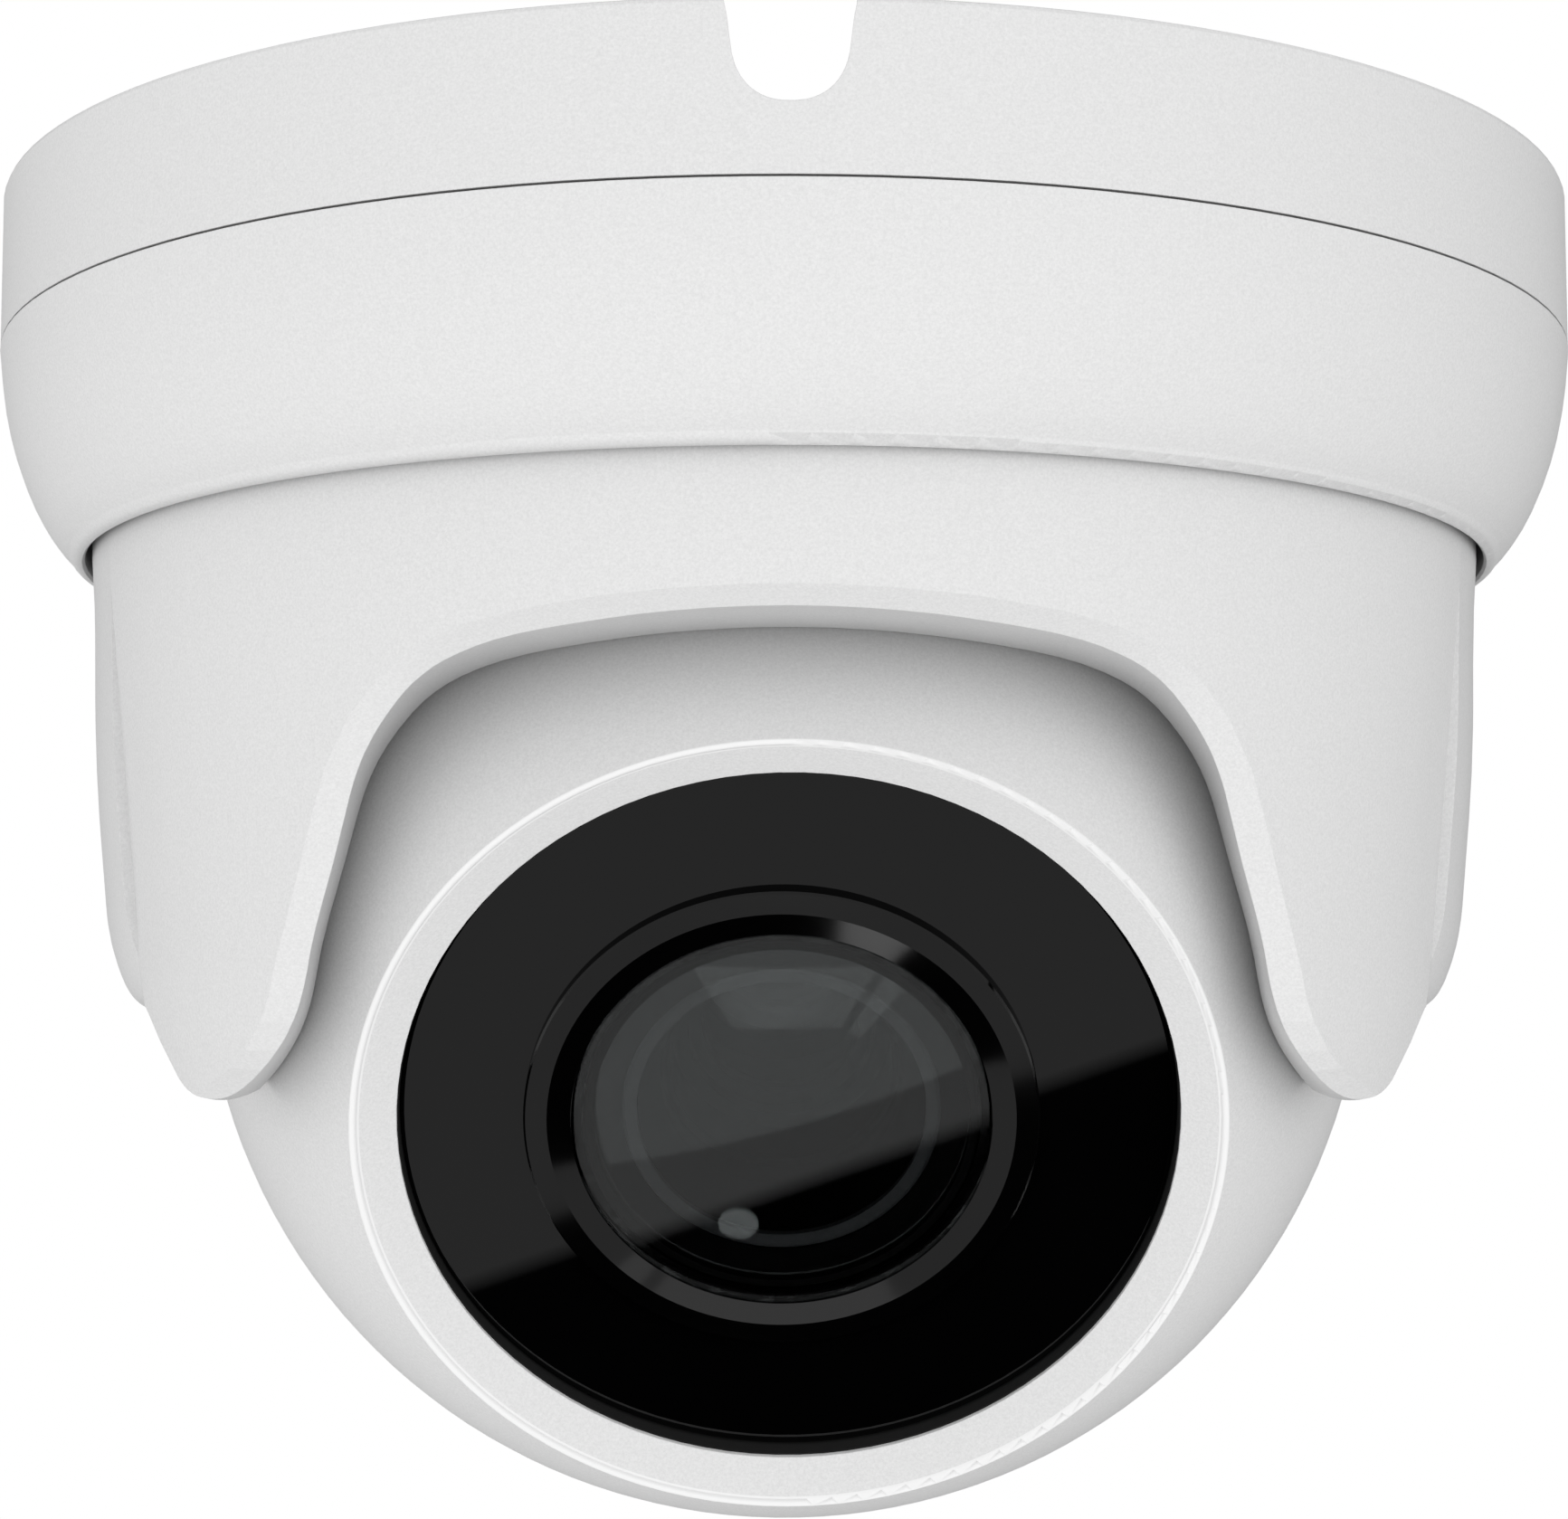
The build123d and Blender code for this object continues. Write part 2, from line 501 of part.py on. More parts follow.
# ================================================================ BALL SHELLS (ball frame)
def ball_front_shell():
    """Front shell with the window funnel, screw posts and a seal groove at the seam."""
    below = SEAM - 2.0      # revolved past the seam, then trimmed square to the lens axis
    shell = rev((sphere_r(BALL_R, below), below),
                (*polar(BALL_R, 20), LIP_R, sphere_r(BALL_R, LIP_R)),
                (30.12, 31.95, 29.85, 31.72),
                (RIM_R, RIM_D), (RIM_R, SEAT_FRONT), (SEAT_R, SEAT_FRONT), (SEAT_R, SEAT_BACK),
                (SHELF_R, SEAT_BACK), (SHELF_R, sphere_r(BALL_IN_R, SHELF_R)),
                (*polar(BALL_IN_R, 14), sphere_r(BALL_IN_R, below), below))
    shell = (WINDOW_TURN * shell) & box(-60, 60, -60, 60, SEAM, 60)
    inside = Sphere(BALL_IN_R + 0.6)
    for place in CHASSIS_SCREWS:
        shell += (place * rod(3.2, CHASSIS_FRONT, 26.0)) & inside
    for place in SHELL_SCREWS:
        shell += (place * rod(2.8, SEAM + 0.1, 21.9)) & inside
    shell -= tube(43.05, 42.0, SEAM - 1, SEAM + 1.05)
    for place in CHASSIS_SCREWS:
        shell -= place * rod(1.25, 9.95, 16.25)
    for place in SHELL_SCREWS:
        shell -= place * rod(1.25, -6.0, 6.0)
    for place in RETAINER_SCREWS:
        shell -= WINDOW_TURN * (place * rod(0.95, 23.5, 27.3))
    return shell


def ball_rear_shell():
    """Rear shell with a flat back and a hollow hub for the roll pivot."""
    back_r = sphere_r(BALL_R, BACK + 0.5)
    shell = rev((sphere_r(BALL_R, REAR_TOP), REAR_TOP),
                (*polar(BALL_R, -28), back_r, BACK + 0.5),
                (back_r - 0.9, BACK), (HUB_R, BACK), (HUB_R, HUB_END), (HUB_BORE_R, HUB_END),
                (HUB_BORE_R, BACK_INNER), (sphere_r(BALL_IN_R, BACK_INNER), BACK_INNER),
                (*polar(BALL_IN_R, -28), sphere_r(BALL_IN_R, REAR_TOP), REAR_TOP))
    inside = Sphere(BALL_IN_R + 0.6)
    for place in SHELL_SCREWS:
        shell += (place * rod(3.4, -23.8, -6.2)) & inside
    for place in SHELL_SCREWS:
        shell -= place * rod(1.6, -40.0, 0.0)
        shell -= place * rod(2.7, -42.0, -12.0)
    # groove for the hub retaining ring
    shell -= tube(9.0, 7.3, -38.2, -37.5)
    return shell


def ball_seal_ring():
    return tube(43.0, 42.05, REAR_TOP, SEAM + 1.0)


def ball_screws():
    one = screw(head=(2.5, -14.0, -12.0), shank=(1.2, -12.1, 4.1))
    return [place * one for place in SHELL_SCREWS]


def hub_retaining_ring():
    return tube(10.0, 7.35, -38.15, -37.55) - box(-1.6, 1.6, 0, 12, -39, -37)


def strain_relief_boot():
    return rev((2.0, -33.0), (3.5, -33.0), (3.5, HUB_END), (5.6, HUB_END), (5.6, -40.0),
               (3.4, -43.0), (2.0, -43.0))


# ================================================================ WINDOW (ball frame)
def window_gasket():
    return WINDOW_TURN * rev((27.15, 29.9), (28.25, 29.9), (28.25, SEAT_BACK), (25.2, SEAT_BACK),
                             (25.2, GLASS_BACK), (27.15, GLASS_BACK))


def front_window():
    """Flat ring of glass, bored on the lens axis for the bezel."""
    glass = rev((12.0, GLASS_FRONT), (GLASS_R - 0.3, GLASS_FRONT), (GLASS_R, GLASS_FRONT - 0.3),
                (GLASS_R, GLASS_BACK + 0.05), (12.0, GLASS_BACK + 0.05))
    return (WINDOW_TURN * glass) - LENS_SHIFT * rod(16.55, 20, 30)


def window_retainer():
    """Flat ring behind the gasket, notched round the chassis screw posts."""
    holes = Compound([place * rod(1.3, 20.8, 24.8) for place in RETAINER_SCREWS])
    notches = Compound([place * rod(3.5, 20.8, 24.8) for place in CHASSIS_SCREWS])
    return WINDOW_TURN * (tube(33.2, 25.9, 22.0, SEAT_BACK) - holes) - notches


def retainer_screws():
    one = screw(head=(1.7, 21.0, 22.0), shank=(0.9, 22.0, 26.8))
    return [WINDOW_TURN * (place * one) for place in RETAINER_SCREWS]


def lens_bezel():
    bezel = rev((18.0, GLASS_FRONT - 0.5), (18.0, 29.4), (17.85, 29.55), (16.36, 29.6),
                (14.72, 29.4), (14.72, PANE_BACK), (BEZEL_IN_R, PANE_BACK),
                (BEZEL_IN_R, BEZEL_BACK), (16.5, BEZEL_BACK), (16.5, GLASS_FRONT - 0.5))
    return (LENS_SHIFT * bezel) - front_window()


# ================================================================ CHASSIS AND LAMPS (ball frame)
def chassis_plate():
    """Ring plate with posts for the lamp board."""
    plate = tube(36.6, 15.5, CHASSIS_BACK, CHASSIS_FRONT)
    for place in SHELL_SCREWS:
        plate -= place * rod(3.6, 6, 12)
    for place in CHASSIS_SCREWS:
        plate -= place * rod(1.4, 6, 12)
    # slot for the lamp harness
    plate -= box(-5, 5, -40, -25, 6, 12) & tube(31.5, 26.0, 6, 12)
    for place in LAMP_SCREWS:
        plate += place * rod(1.9, CHASSIS_FRONT - 0.2, LAMP_BOARD_BACK)
    for place in LAMP_SCREWS:
        plate -= place * rod(1.05, 12.1, 17.1)
    return plate


def chassis_screws():
    one = screw(head=(2.2, 6.6, CHASSIS_BACK), shank=(1.2, 7.9, 15.5))
    return [place * one for place in CHASSIS_SCREWS]


def lamp_board():
    board = tube(26.2, 16.8, LAMP_BOARD_BACK, LAMP_BOARD_FRONT)
    for place in LAMP_SCREWS:
        board -= place * rod(1.15, 15, 21)
    return board


def infrared_lamps():
    bulb_r = 2.45
    lamp = rod(2.8, LAMP_BOARD_FRONT, 19.6) + rod(bulb_r, 19.5, 21.3)
    lamp += Pos(0, 0, 21.1) * Sphere(bulb_r) & box(-5, 5, -5, 5, 20.0, 24)
    return [place * lamp for place in LAMPS]


def lamp_board_screws():
    one = screw(head=(1.8, LAMP_BOARD_FRONT, 19.6), shank=(1.0, 14.7, 18.7))
    return [place * one for place in LAMP_SCREWS]


def light_sensor():
    return box(-1.6, 1.6, 19.9, 23.1, LAMP_BOARD_FRONT, 20.2)


# ================================================================ VARIFOCAL LENS (lens frame)
def lens_window():
    """Clear flat pane over the lens."""
    return rev((0, PANE_BACK), (14.68, PANE_BACK), (14.68, 29.2), (14.5, 29.35), (0, 29.35))


def light_baffle():
    return tube(16.2, BEZEL_IN_R, 18.9, BEZEL_BACK)


def lens_barrel():
    return rev((BARREL_BORE_R, -3.0), (BARREL_BORE_R, BARREL_FRONT), (BARREL_R, BARREL_FRONT),
               (BARREL_R, 12.1), (11.2, 12.1), (11.2, 9.6), (BARREL_R, 9.6), (BARREL_R, 3.4),
               (11.0, 3.4), (11.0, 0.0), (9.6, -0.6), (9.6, -3.3), (6.93, -3.3), (6.93, -7.4),
               (4.6, -7.4), (4.6, -3.0))


def lens_front_collar():
    return rev((SLEEVE_R, 18.05), (13.85, 18.05), (13.85, 28.5), (13.65, 28.7), (13.2, 28.7),
               (13.2, 27.7), (11.2, 27.7), (11.2, 27.02), (10.1, 27.02), (8.6, 23.0),
               (8.6, 20.6), (SLEEVE_R, 20.6))


def lens_trim_ring():
    return rev((10.15, 27.02), (11.15, 27.02), (11.15, 27.55), (10.95, 27.68), (10.15, 27.5))


def front_lens_element():
    return dome(13.15, 27.74, 28.02, 28.7) - dome(12.2, 25.0, 27.7, 28.3)


def radial(deg, z):
    """Frame whose Z points outwards from the lens axis."""
    return Pos(0, 0, z) * Rot(0, 0, deg) * Rot(0, 90, 0)


def grip_ring(z0, z1, lock):
    """Ring with 24 grip grooves and a hole for its lock screw."""
    groove = box(RING_OD - 0.45, RING_OD + 1, -0.55, 0.55, z0 + 0.8, z1 - 0.8)
    ring = tube(RING_OD, SLEEVE_R, z0, z1)
    ring -= Compound([Rot(0, 0, 15 * i) * groove for i in range(24)])
    return ring - radial(*lock) * rod(1.0, 9, 15)


def lock_screw(lock):
    """Thumb screw with eight grooves in its head."""
    groove = box(1.8, 3, -0.25, 0.25, -3, 3)
    head = Cylinder(2.0, 3.4) - Compound([Rot(0, 0, 45 * i) * groove for i in range(8)])
    return radial(*lock) * (Pos(0, 0, 15.3) * head + rod(0.95, 10.3, 14.1))


def zoom_ring():
    return grip_ring(3.5, 9.5, ZOOM_LOCK)


def focus_ring():
    return grip_ring(12.2, 17.95, FOCUS_LOCK)


def zoom_lock_screw():
    return lock_screw(ZOOM_LOCK)


def focus_lock_screw():
    return lock_screw(FOCUS_LOCK)


def zoom_cell():
    return rev((5.0, -0.5), (CELL_R, -0.5), (CELL_R, 5.5), (6.4, 5.5), (6.4, 3.6), (5.0, 3.6))


def zoom_lens_element():
    return dome(4.95, 2.0, 2.6, 3.5) + dome(4.95, 2.2, 1.5, 0.6)


def focus_cell():
    return rev((5.8, 11.0), (CELL_R, 11.0), (CELL_R, 16.0), (6.8, 16.0), (6.8, 14.6), (5.8, 14.6))


def focus_lens_element():
    return dome(5.75, 13.2, 13.8, 14.9) + dome(5.75, 13.4, 12.9, 12.0)


# ================================================================ FILTER AND BOARDS (lens frame)
def lens_mount():
    """Block behind the barrel with a slot for the day/night filter carriage."""
    mount = box(-13, 13, -10, 10, SENSOR_FRONT, -3.5)
    mount -= rod(7.0, -7.6, 0)
    mount -= box(-12.1, 12.1, -5.3, 5.3, -9.65, -7.95)
    mount -= rod(4.2, -14, -7)
    mount -= box(-6.5, 6.5, -5.5, 5.5, -14, -10.2)
    return mount


def filter_carriage():
    holes = Compound([Pos(x, 0, FILTER_Z) * Cylinder(2.9, 4) for x in FILTER_X])
    return box(-11.5, 4.5, -5.2, 5.2, -9.55, -8.05) - holes


def filter_panes():
    return [Pos(x, 0, FILTER_Z) * Cylinder(2.88, 0.8) for x in FILTER_X]


def filter_motor():
    return [box(-9.5, 9.5, 10.0, 14.6, -11.5, -5.0), x_rod(1.4, 12.0, 0, 16.0, -8.2)]


def board_holes(z0, z1):
    return Compound([place * rod(1.15, z0, z1) for place in BOARD_SCREWS])


def sensor_board():
    return box(-19, 19, -19, 19, SENSOR_BACK, SENSOR_FRONT) - board_holes(-17, -11)


def image_sensor():
    return box(-4.6, 4.6, -3.6, 3.6, SENSOR_FRONT, -12.2)


def board_spacers():
    """Long posts from chassis to sensor board, short ones on to the main board."""
    long_post = rod(SPACER_R, SENSOR_FRONT, CHASSIS_BACK) - rod(SPACER_BORE_R, -16, -8)
    short_post = tube(SPACER_R, SPACER_BORE_R, MAIN_FRONT, SENSOR_BACK)
    return [place * post for place in BOARD_SCREWS for post in (long_post, short_post)]


def main_board():
    return rod(29.0, MAIN_BACK, MAIN_FRONT) - board_holes(-25, -19)


def board_screws():
    one = screw(head=(1.9, -23.8, MAIN_BACK), shank=(0.95, -23.5, -10.5))
    return [place * one for place in BOARD_SCREWS]


def board_chips():
    return [box(-7, 7, -7, 7, CHIP_BACK, MAIN_BACK),
            box(11, 19, -5.5, 5.5, -23.7, MAIN_BACK),
            box(-19, -11, -5.5, 5.5, -23.7, MAIN_BACK)]


def heat_sink():
    plate_back, fin_pitch = -25.2, 3.8
    fins = [box(-10 + fin_pitch * i, -8.8 + fin_pitch * i, -10, 10, -29.4, plate_back)
            for i in range(6)]
    return box(-10, 10, -10, 10, plate_back, CHIP_BACK) + Compound(fins)


def board_connectors():
    return [box(-6, 6, 18.5, 23.0, -27.0, MAIN_BACK),
            box(-5, 5, -25.6, -21.4, -26.4, MAIN_BACK),
            box(-5.5, 5.5, 15.5, 18.0, -16.2, SENSOR_BACK)]


def sensor_ribbon():
    """Flat ribbon folded between the sensor board and the main board."""
    ribbon = box(-4.5, 4.5, 18.0, 23.9, -15.7, -15.4)
    ribbon += box(-4.5, 4.5, 23.6, 23.9, -19.5, -15.4)
    ribbon += box(-4.5, 4.5, 20.0, 23.9, -19.8, -19.5)
    ribbon += box(-4.5, 4.5, 20.0, 20.3, MAIN_FRONT, -19.5)
    return ribbon


def lamp_harness():
    return cable([(0, -22.0, 16.95), (0, -24.0, 13.5), (0, -28.4, 9.0), (0, -29.4, -8.0),
                  (0, -31.6, -19.0), (0, -29.6, -24.2), (0, -25.65, -24.6)],
                 1.1, (0, 0, -1), (0, 1, 0))


# ================================================================ OUTPUT
# Each function's name is the name of its piece.
ROW_PIECES = (mounting_base, pan_friction_ring, cable_bridge, bridge_screws, cable_grommet,
              pigtail_cable, network_socket, power_jack, trim_ring, hood_shell,
              tilt_friction_washers, flex_lead)
BALL_PIECES = (tilt_yoke, roll_friction_ring, ball_front_shell, ball_rear_shell, ball_seal_ring,
               ball_screws, hub_retaining_ring, strain_relief_boot, window_gasket, front_window,
               window_retainer, retainer_screws, lens_bezel, chassis_plate, chassis_screws,
               lamp_board, infrared_lamps, lamp_board_screws, light_sensor)
LENS_PIECES = (lens_window, light_baffle, lens_barrel, lens_front_collar, lens_trim_ring,
               front_lens_element, zoom_ring, focus_ring, zoom_lock_screw, focus_lock_screw,
               zoom_cell, zoom_lens_element, focus_cell, focus_lens_element, lens_mount,
               filter_carriage, filter_panes, filter_motor, sensor_board, image_sensor,
               board_spacers, main_board, board_screws, board_chips, heat_sink,
               board_connectors, sensor_ribbon, lamp_harness)
for frame, pieces in ((ROW_FRAME, ROW_PIECES), (BALL_FRAME, BALL_PIECES),
                      (BALL_FRAME * LENS_SHIFT, LENS_PIECES)):
    for piece in pieces:
        save(piece.__name__, piece(), frame)
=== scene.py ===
import bpy
import json
import math
from mathutils import Vector, Matrix

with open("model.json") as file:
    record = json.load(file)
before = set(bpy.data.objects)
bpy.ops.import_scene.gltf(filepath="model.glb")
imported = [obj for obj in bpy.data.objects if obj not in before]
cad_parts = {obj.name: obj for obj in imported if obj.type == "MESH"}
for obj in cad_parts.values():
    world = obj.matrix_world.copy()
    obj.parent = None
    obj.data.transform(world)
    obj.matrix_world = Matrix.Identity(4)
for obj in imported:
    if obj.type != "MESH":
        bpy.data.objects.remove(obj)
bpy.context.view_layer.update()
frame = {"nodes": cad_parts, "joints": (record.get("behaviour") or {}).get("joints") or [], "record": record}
nodes = frame["nodes"]
scene = bpy.context.scene
scene.view_settings.view_transform = "Standard"
scene.view_settings.look = "None"
scene.view_settings.exposure = 0.0
scene.view_settings.gamma = 1.0

MM = 0.001
# lens frame, read from the record's roll joint
roll = [j for j in frame["joints"] if j["name"] == "ball_roll"][0]
C = Vector(roll["pos_m"])
N = Vector(roll["axis"]).normalized()
X = Vector((1.0, 0.0, 0.0))
WIN_YAW = math.radians(0.33)
NW = (N * math.cos(WIN_YAW) + X * math.sin(WIN_YAW)).normalized()      # normal of the round window
LENS_C = C + X * (-0.35 * MM)                                            # lens axis, beside the ball's centre
DOME_R, DOME_APEX = 127.49 * MM, 28.70 * MM                              # outer face of the front lens element
DOME_C = LENS_C + N * (DOME_APEX - DOME_R)


# ------------------------------------------------------------------ material helpers
def new_mat(name):
    m = bpy.data.materials.new(name)
    m.use_nodes = True
    nt = m.node_tree
    nt.nodes.clear()
    out = nt.nodes.new("ShaderNodeOutputMaterial")
    return m, nt, out


def link(nt, a, b):
    nt.links.new(a, b)


def tex_coord(nt, scale=1.0):
    tc = nt.nodes.new("ShaderNodeTexCoord")
    mp = nt.nodes.new("ShaderNodeMapping")
    mp.inputs["Scale"].default_value = (scale, scale, scale)
    link(nt, tc.outputs["Object"], mp.inputs["Vector"])
    return mp.outputs["Vector"]


def noise(nt, vec, scale, detail=4.0, rough=0.6):
    n = nt.nodes.new("ShaderNodeTexNoise")
    n.inputs["Scale"].default_value = scale
    n.inputs["Detail"].default_value = detail
    n.inputs["Roughness"].default_value = rough
    link(nt, vec, n.inputs["Vector"])
    return n.outputs["Fac"]


def ramp(nt, fac, stops):
    r = nt.nodes.new("ShaderNodeValToRGB")
    cr = r.color_ramp
    while len(cr.elements) < len(stops):
        cr.elements.new(0.5)
    for el, (p, c) in zip(cr.elements, stops):
        el.position = p
        el.color = (*c, 1) if len(c) == 3 else c
    link(nt, fac, r.inputs["Fac"])
    return r.outputs["Color"]


def mapr(nt, fac, a, b, lo=0.0, hi=1.0):
    m = nt.nodes.new("ShaderNodeMapRange")
    m.inputs["From Min"].default_value = lo
    m.inputs["From Max"].default_value = hi
    m.inputs["To Min"].default_value = a
    m.inputs["To Max"].default_value = b
    link(nt, fac, m.inputs["Value"])
    return m.outputs["Result"]


def bump(nt, height, strength, dist, normal=None):
    b = nt.nodes.new("ShaderNodeBump")
    b.inputs["Strength"].default_value = strength
    b.inputs["Distance"].default_value = dist
    link(nt, height, b.inputs["Height"])
    if normal is not None:
        link(nt, normal, b.inputs["Normal"])
    return b.outputs["Normal"]


def bevel_normal(nt, radius):
    b = nt.nodes.new("ShaderNodeBevel")
    b.samples = 6
    b.inputs["Radius"].default_value = radius
    return b.outputs["Normal"]


def principled(nt, out, **kw):
    p = nt.nodes.new("ShaderNodeBsdfPrincipled")
    for k, v in kw.items():
        key = {"base": "Base Color", "rough": "Roughness", "metal": "Metallic", "ior": "IOR", "spec": "Specular IOR Level",
               "coat": "Coat Weight", "coat_rough": "Coat Roughness", "trans": "Transmission Weight"}[k]
        p.inputs[key].default_value = (*v, 1) if isinstance(v, tuple) else v
    link(nt, p.outputs["BSDF"], out.inputs["Surface"])
    return p


def powder(name, tint=(0.80, 0.80, 0.80), speck=0.06, rough=0.52, edge=0.00010, painted_shade_grey=0.16):
    """White powder coat: fine orange-peel grain, speckled value, softly rounded edges; painted shade deepens the
    contact shading: diffuse rays that reach it from other surfaces see a dark grey instead of the white.
    """
    m, nt, out = new_mat(name)
    v = tex_coord(nt)
    p = principled(nt, out, rough=rough, ior=1.45, spec=0.35)
    n1 = noise(nt, v, 5200.0, 2.0, 0.7)
    lo = tuple(c * (1 - speck) for c in tint)
    hi = tuple(min(1.0, c * (1 + speck)) for c in tint)
    col = ramp(nt, n1, [(0.30, lo), (0.70, hi)])
    # painted shade: diffuse rays see a dark grey base colour instead of the white, which cuts light passed between
    # parts and darkens recesses and contact areas
    lp0 = nt.nodes.new("ShaderNodeLightPath")
    mx = nt.nodes.new("ShaderNodeMix")
    mx.data_type = "RGBA"
    link(nt, lp0.outputs["Is Diffuse Ray"], mx.inputs[0])
    link(nt, col, mx.inputs[6])
    mx.inputs[7].default_value = (painted_shade_grey, painted_shade_grey, painted_shade_grey, 1)
    link(nt, mx.outputs[2], p.inputs["Base Color"])
    n2 = noise(nt, v, 2600.0, 3.0, 0.6)
    link(nt, mapr(nt, n2, rough - 0.06, rough + 0.08), p.inputs["Roughness"])
    base = bevel_normal(nt, edge) if edge else None
    link(nt, bump(nt, n2, 0.22, 0.00004, base), p.inputs["Normal"])
    return m


def paint_lip_highlight(mat):
    """Painted highlight: lightens the base colour on the narrow lip where the window's funnel meets the ball, standing
    in for the light its rounded edge catches.
    """
    nt = mat.node_tree
    p = [n for n in nt.nodes if n.type == "BSDF_PRINCIPLED"][0]
    src = p.inputs["Base Color"].links[0].from_socket
    tc = nt.nodes.new("ShaderNodeTexCoord")
    sub = nt.nodes.new("ShaderNodeVectorMath")
    sub.operation = "SUBTRACT"
    sub.inputs[1].default_value = C
    link(nt, tc.outputs["Object"], sub.inputs[0])
    crs = nt.nodes.new("ShaderNodeVectorMath")
    crs.operation = "CROSS_PRODUCT"
    crs.inputs[1].default_value = NW
    link(nt, sub.outputs["Vector"], crs.inputs[0])
    ln = nt.nodes.new("ShaderNodeVectorMath")
    ln.operation = "LENGTH"
    link(nt, crs.outputs["Vector"], ln.inputs[0])
    dt = nt.nodes.new("ShaderNodeVectorMath")
    dt.operation = "DOT_PRODUCT"
    dt.inputs[1].default_value = NW
    link(nt, sub.outputs["Vector"], dt.inputs[0])
    lip_highlight_masks = []
    for sock, edge, sign in ((ln.outputs["Value"], 29.70 * MM, 1.0), (ln.outputs["Value"], 30.38 * MM, -1.0), (dt.outputs["Value"], 31.0 * MM, 1.0)):
        a = nt.nodes.new("ShaderNodeMath")
        a.operation = "SUBTRACT"
        link(nt, sock, a.inputs[0])
        a.inputs[1].default_value = edge
        b = nt.nodes.new("ShaderNodeMath")
        b.operation = "MULTIPLY_ADD"
        b.use_clamp = True
        link(nt, a.outputs[0], b.inputs[0])
        b.inputs[1].default_value = sign * 25000.0
        b.inputs[2].default_value = 0.5
        lip_highlight_masks.append(b.outputs[0])
    m1 = nt.nodes.new("ShaderNodeMath")
    m1.operation = "MULTIPLY"
    link(nt, lip_highlight_masks[0], m1.inputs[0])
    link(nt, lip_highlight_masks[1], m1.inputs[1])
    m2 = nt.nodes.new("ShaderNodeMath")
    m2.operation = "MULTIPLY"
    link(nt, m1.outputs[0], m2.inputs[0])
    link(nt, lip_highlight_masks[2], m2.inputs[1])
    # painted highlight: inside the lip band the base colour becomes a lighter white (0.93)
    mx = nt.nodes.new("ShaderNodeMix")
    mx.data_type = "RGBA"
    link(nt, m2.outputs[0], mx.inputs[0])
    link(nt, src, mx.inputs[6])
    mx.inputs[7].default_value = (0.93, 0.93, 0.93, 1)
    link(nt, mx.outputs[2], p.inputs["Base Color"])
    return mat


def plastic(name, tint, rough, grain=3000.0, amount=0.15, var=0.12, spec=0.5):
    m, nt, out = new_mat(name)
    v = tex_coord(nt)
    p = principled(nt, out, rough=rough, ior=1.47, spec=spec)
    n1 = noise(nt, v, grain, 3.0)
    lo = tuple(c * (1 - var) for c in tint)
    hi = tuple(min(1.0, c * (1 + var)) for c in tint)
    link(nt, ramp(nt, n1, [(0.3, lo), (0.7, hi)]), p.inputs["Base Color"])
    link(nt, mapr(nt, n1, max(0.02, rough - 0.05), rough + 0.05), p.inputs["Roughness"])
    link(nt, bump(nt, n1, amount, 0.00002), p.inputs["Normal"])
    return m


def metal(name, tint, rough, brush=True):
    m, nt, out = new_mat(name)
    v = tex_coord(nt)
    if brush:
        mp = nt.nodes.new("ShaderNodeMapping")
        mp.inputs["Scale"].default_value = (1.0, 1.0, 14.0)
        link(nt, v, mp.inputs["Vector"])
        v = mp.outputs["Vector"]
    p = principled(nt, out, rough=rough, metal=1.0)
    n1 = noise(nt, v, 900.0, 5.0, 0.65)
    link(nt, ramp(nt, n1, [(0.25, tuple(c * 0.86 for c in tint)), (0.75, tint)]), p.inputs["Base Color"])
    link(nt, mapr(nt, n1, rough - 0.06, rough + 0.1), p.inputs["Roughness"])
    link(nt, bump(nt, n1, 0.08, 0.00003), p.inputs["Normal"])
    return m


def gloss_black(name, tint=(0.0012, 0.0012, 0.0013), rough=0.01):
    """Polished black: dark body with a thin reflection and a trace of handling haze."""
    m, nt, out = new_mat(name)
    v = tex_coord(nt)
    p = principled(nt, out, rough=rough, ior=1.5, spec=0.5)
    n1 = noise(nt, v, 60.0, 4.0)
    link(nt, ramp(nt, n1, [(0.2, tuple(c * 0.7 for c in tint)), (0.8, tuple(c * 1.3 for c in tint))]), p.inputs["Base Color"])
    link(nt, mapr(nt, n1, rough * 0.5, rough * 1.6), p.inputs["Roughness"])
    return m


def clear(name, ior=1.5, tint=(0.93, 0.95, 0.95), boost=1.0):
    """Thin optical glass: transparent body with Fresnel reflection on each surface."""
    m, nt, out = new_mat(name)
    fr = nt.nodes.new("ShaderNodeFresnel")
    fr.inputs["IOR"].default_value = ior
    v = tex_coord(nt)
    n1 = noise(nt, v, 40.0, 3.0)
    mul = nt.nodes.new("ShaderNodeMath")
    mul.operation = "MULTIPLY"
    link(nt, fr.outputs["Fac"], mul.inputs[0])
    link(nt, mapr(nt, n1, boost * 0.98, boost * 1.02), mul.inputs[1])
    tr = nt.nodes.new("ShaderNodeBsdfTransparent")
    link(nt, ramp(nt, n1, [(0.2, tuple(c * 0.98 for c in tint)), (0.8, tint)]), tr.inputs["Color"])
    gl = nt.nodes.new("ShaderNodeBsdfGlossy")
    gl.inputs["Roughness"].default_value = 0.01
    mix = nt.nodes.new("ShaderNodeMixShader")
    link(nt, mul.outputs[0], mix.inputs["Fac"])
    link(nt, tr.outputs["BSDF"], mix.inputs[1])
    link(nt, gl.outputs["BSDF"], mix.inputs[2])
    link(nt, mix.outputs["Shader"], out.inputs["Surface"])
    return m


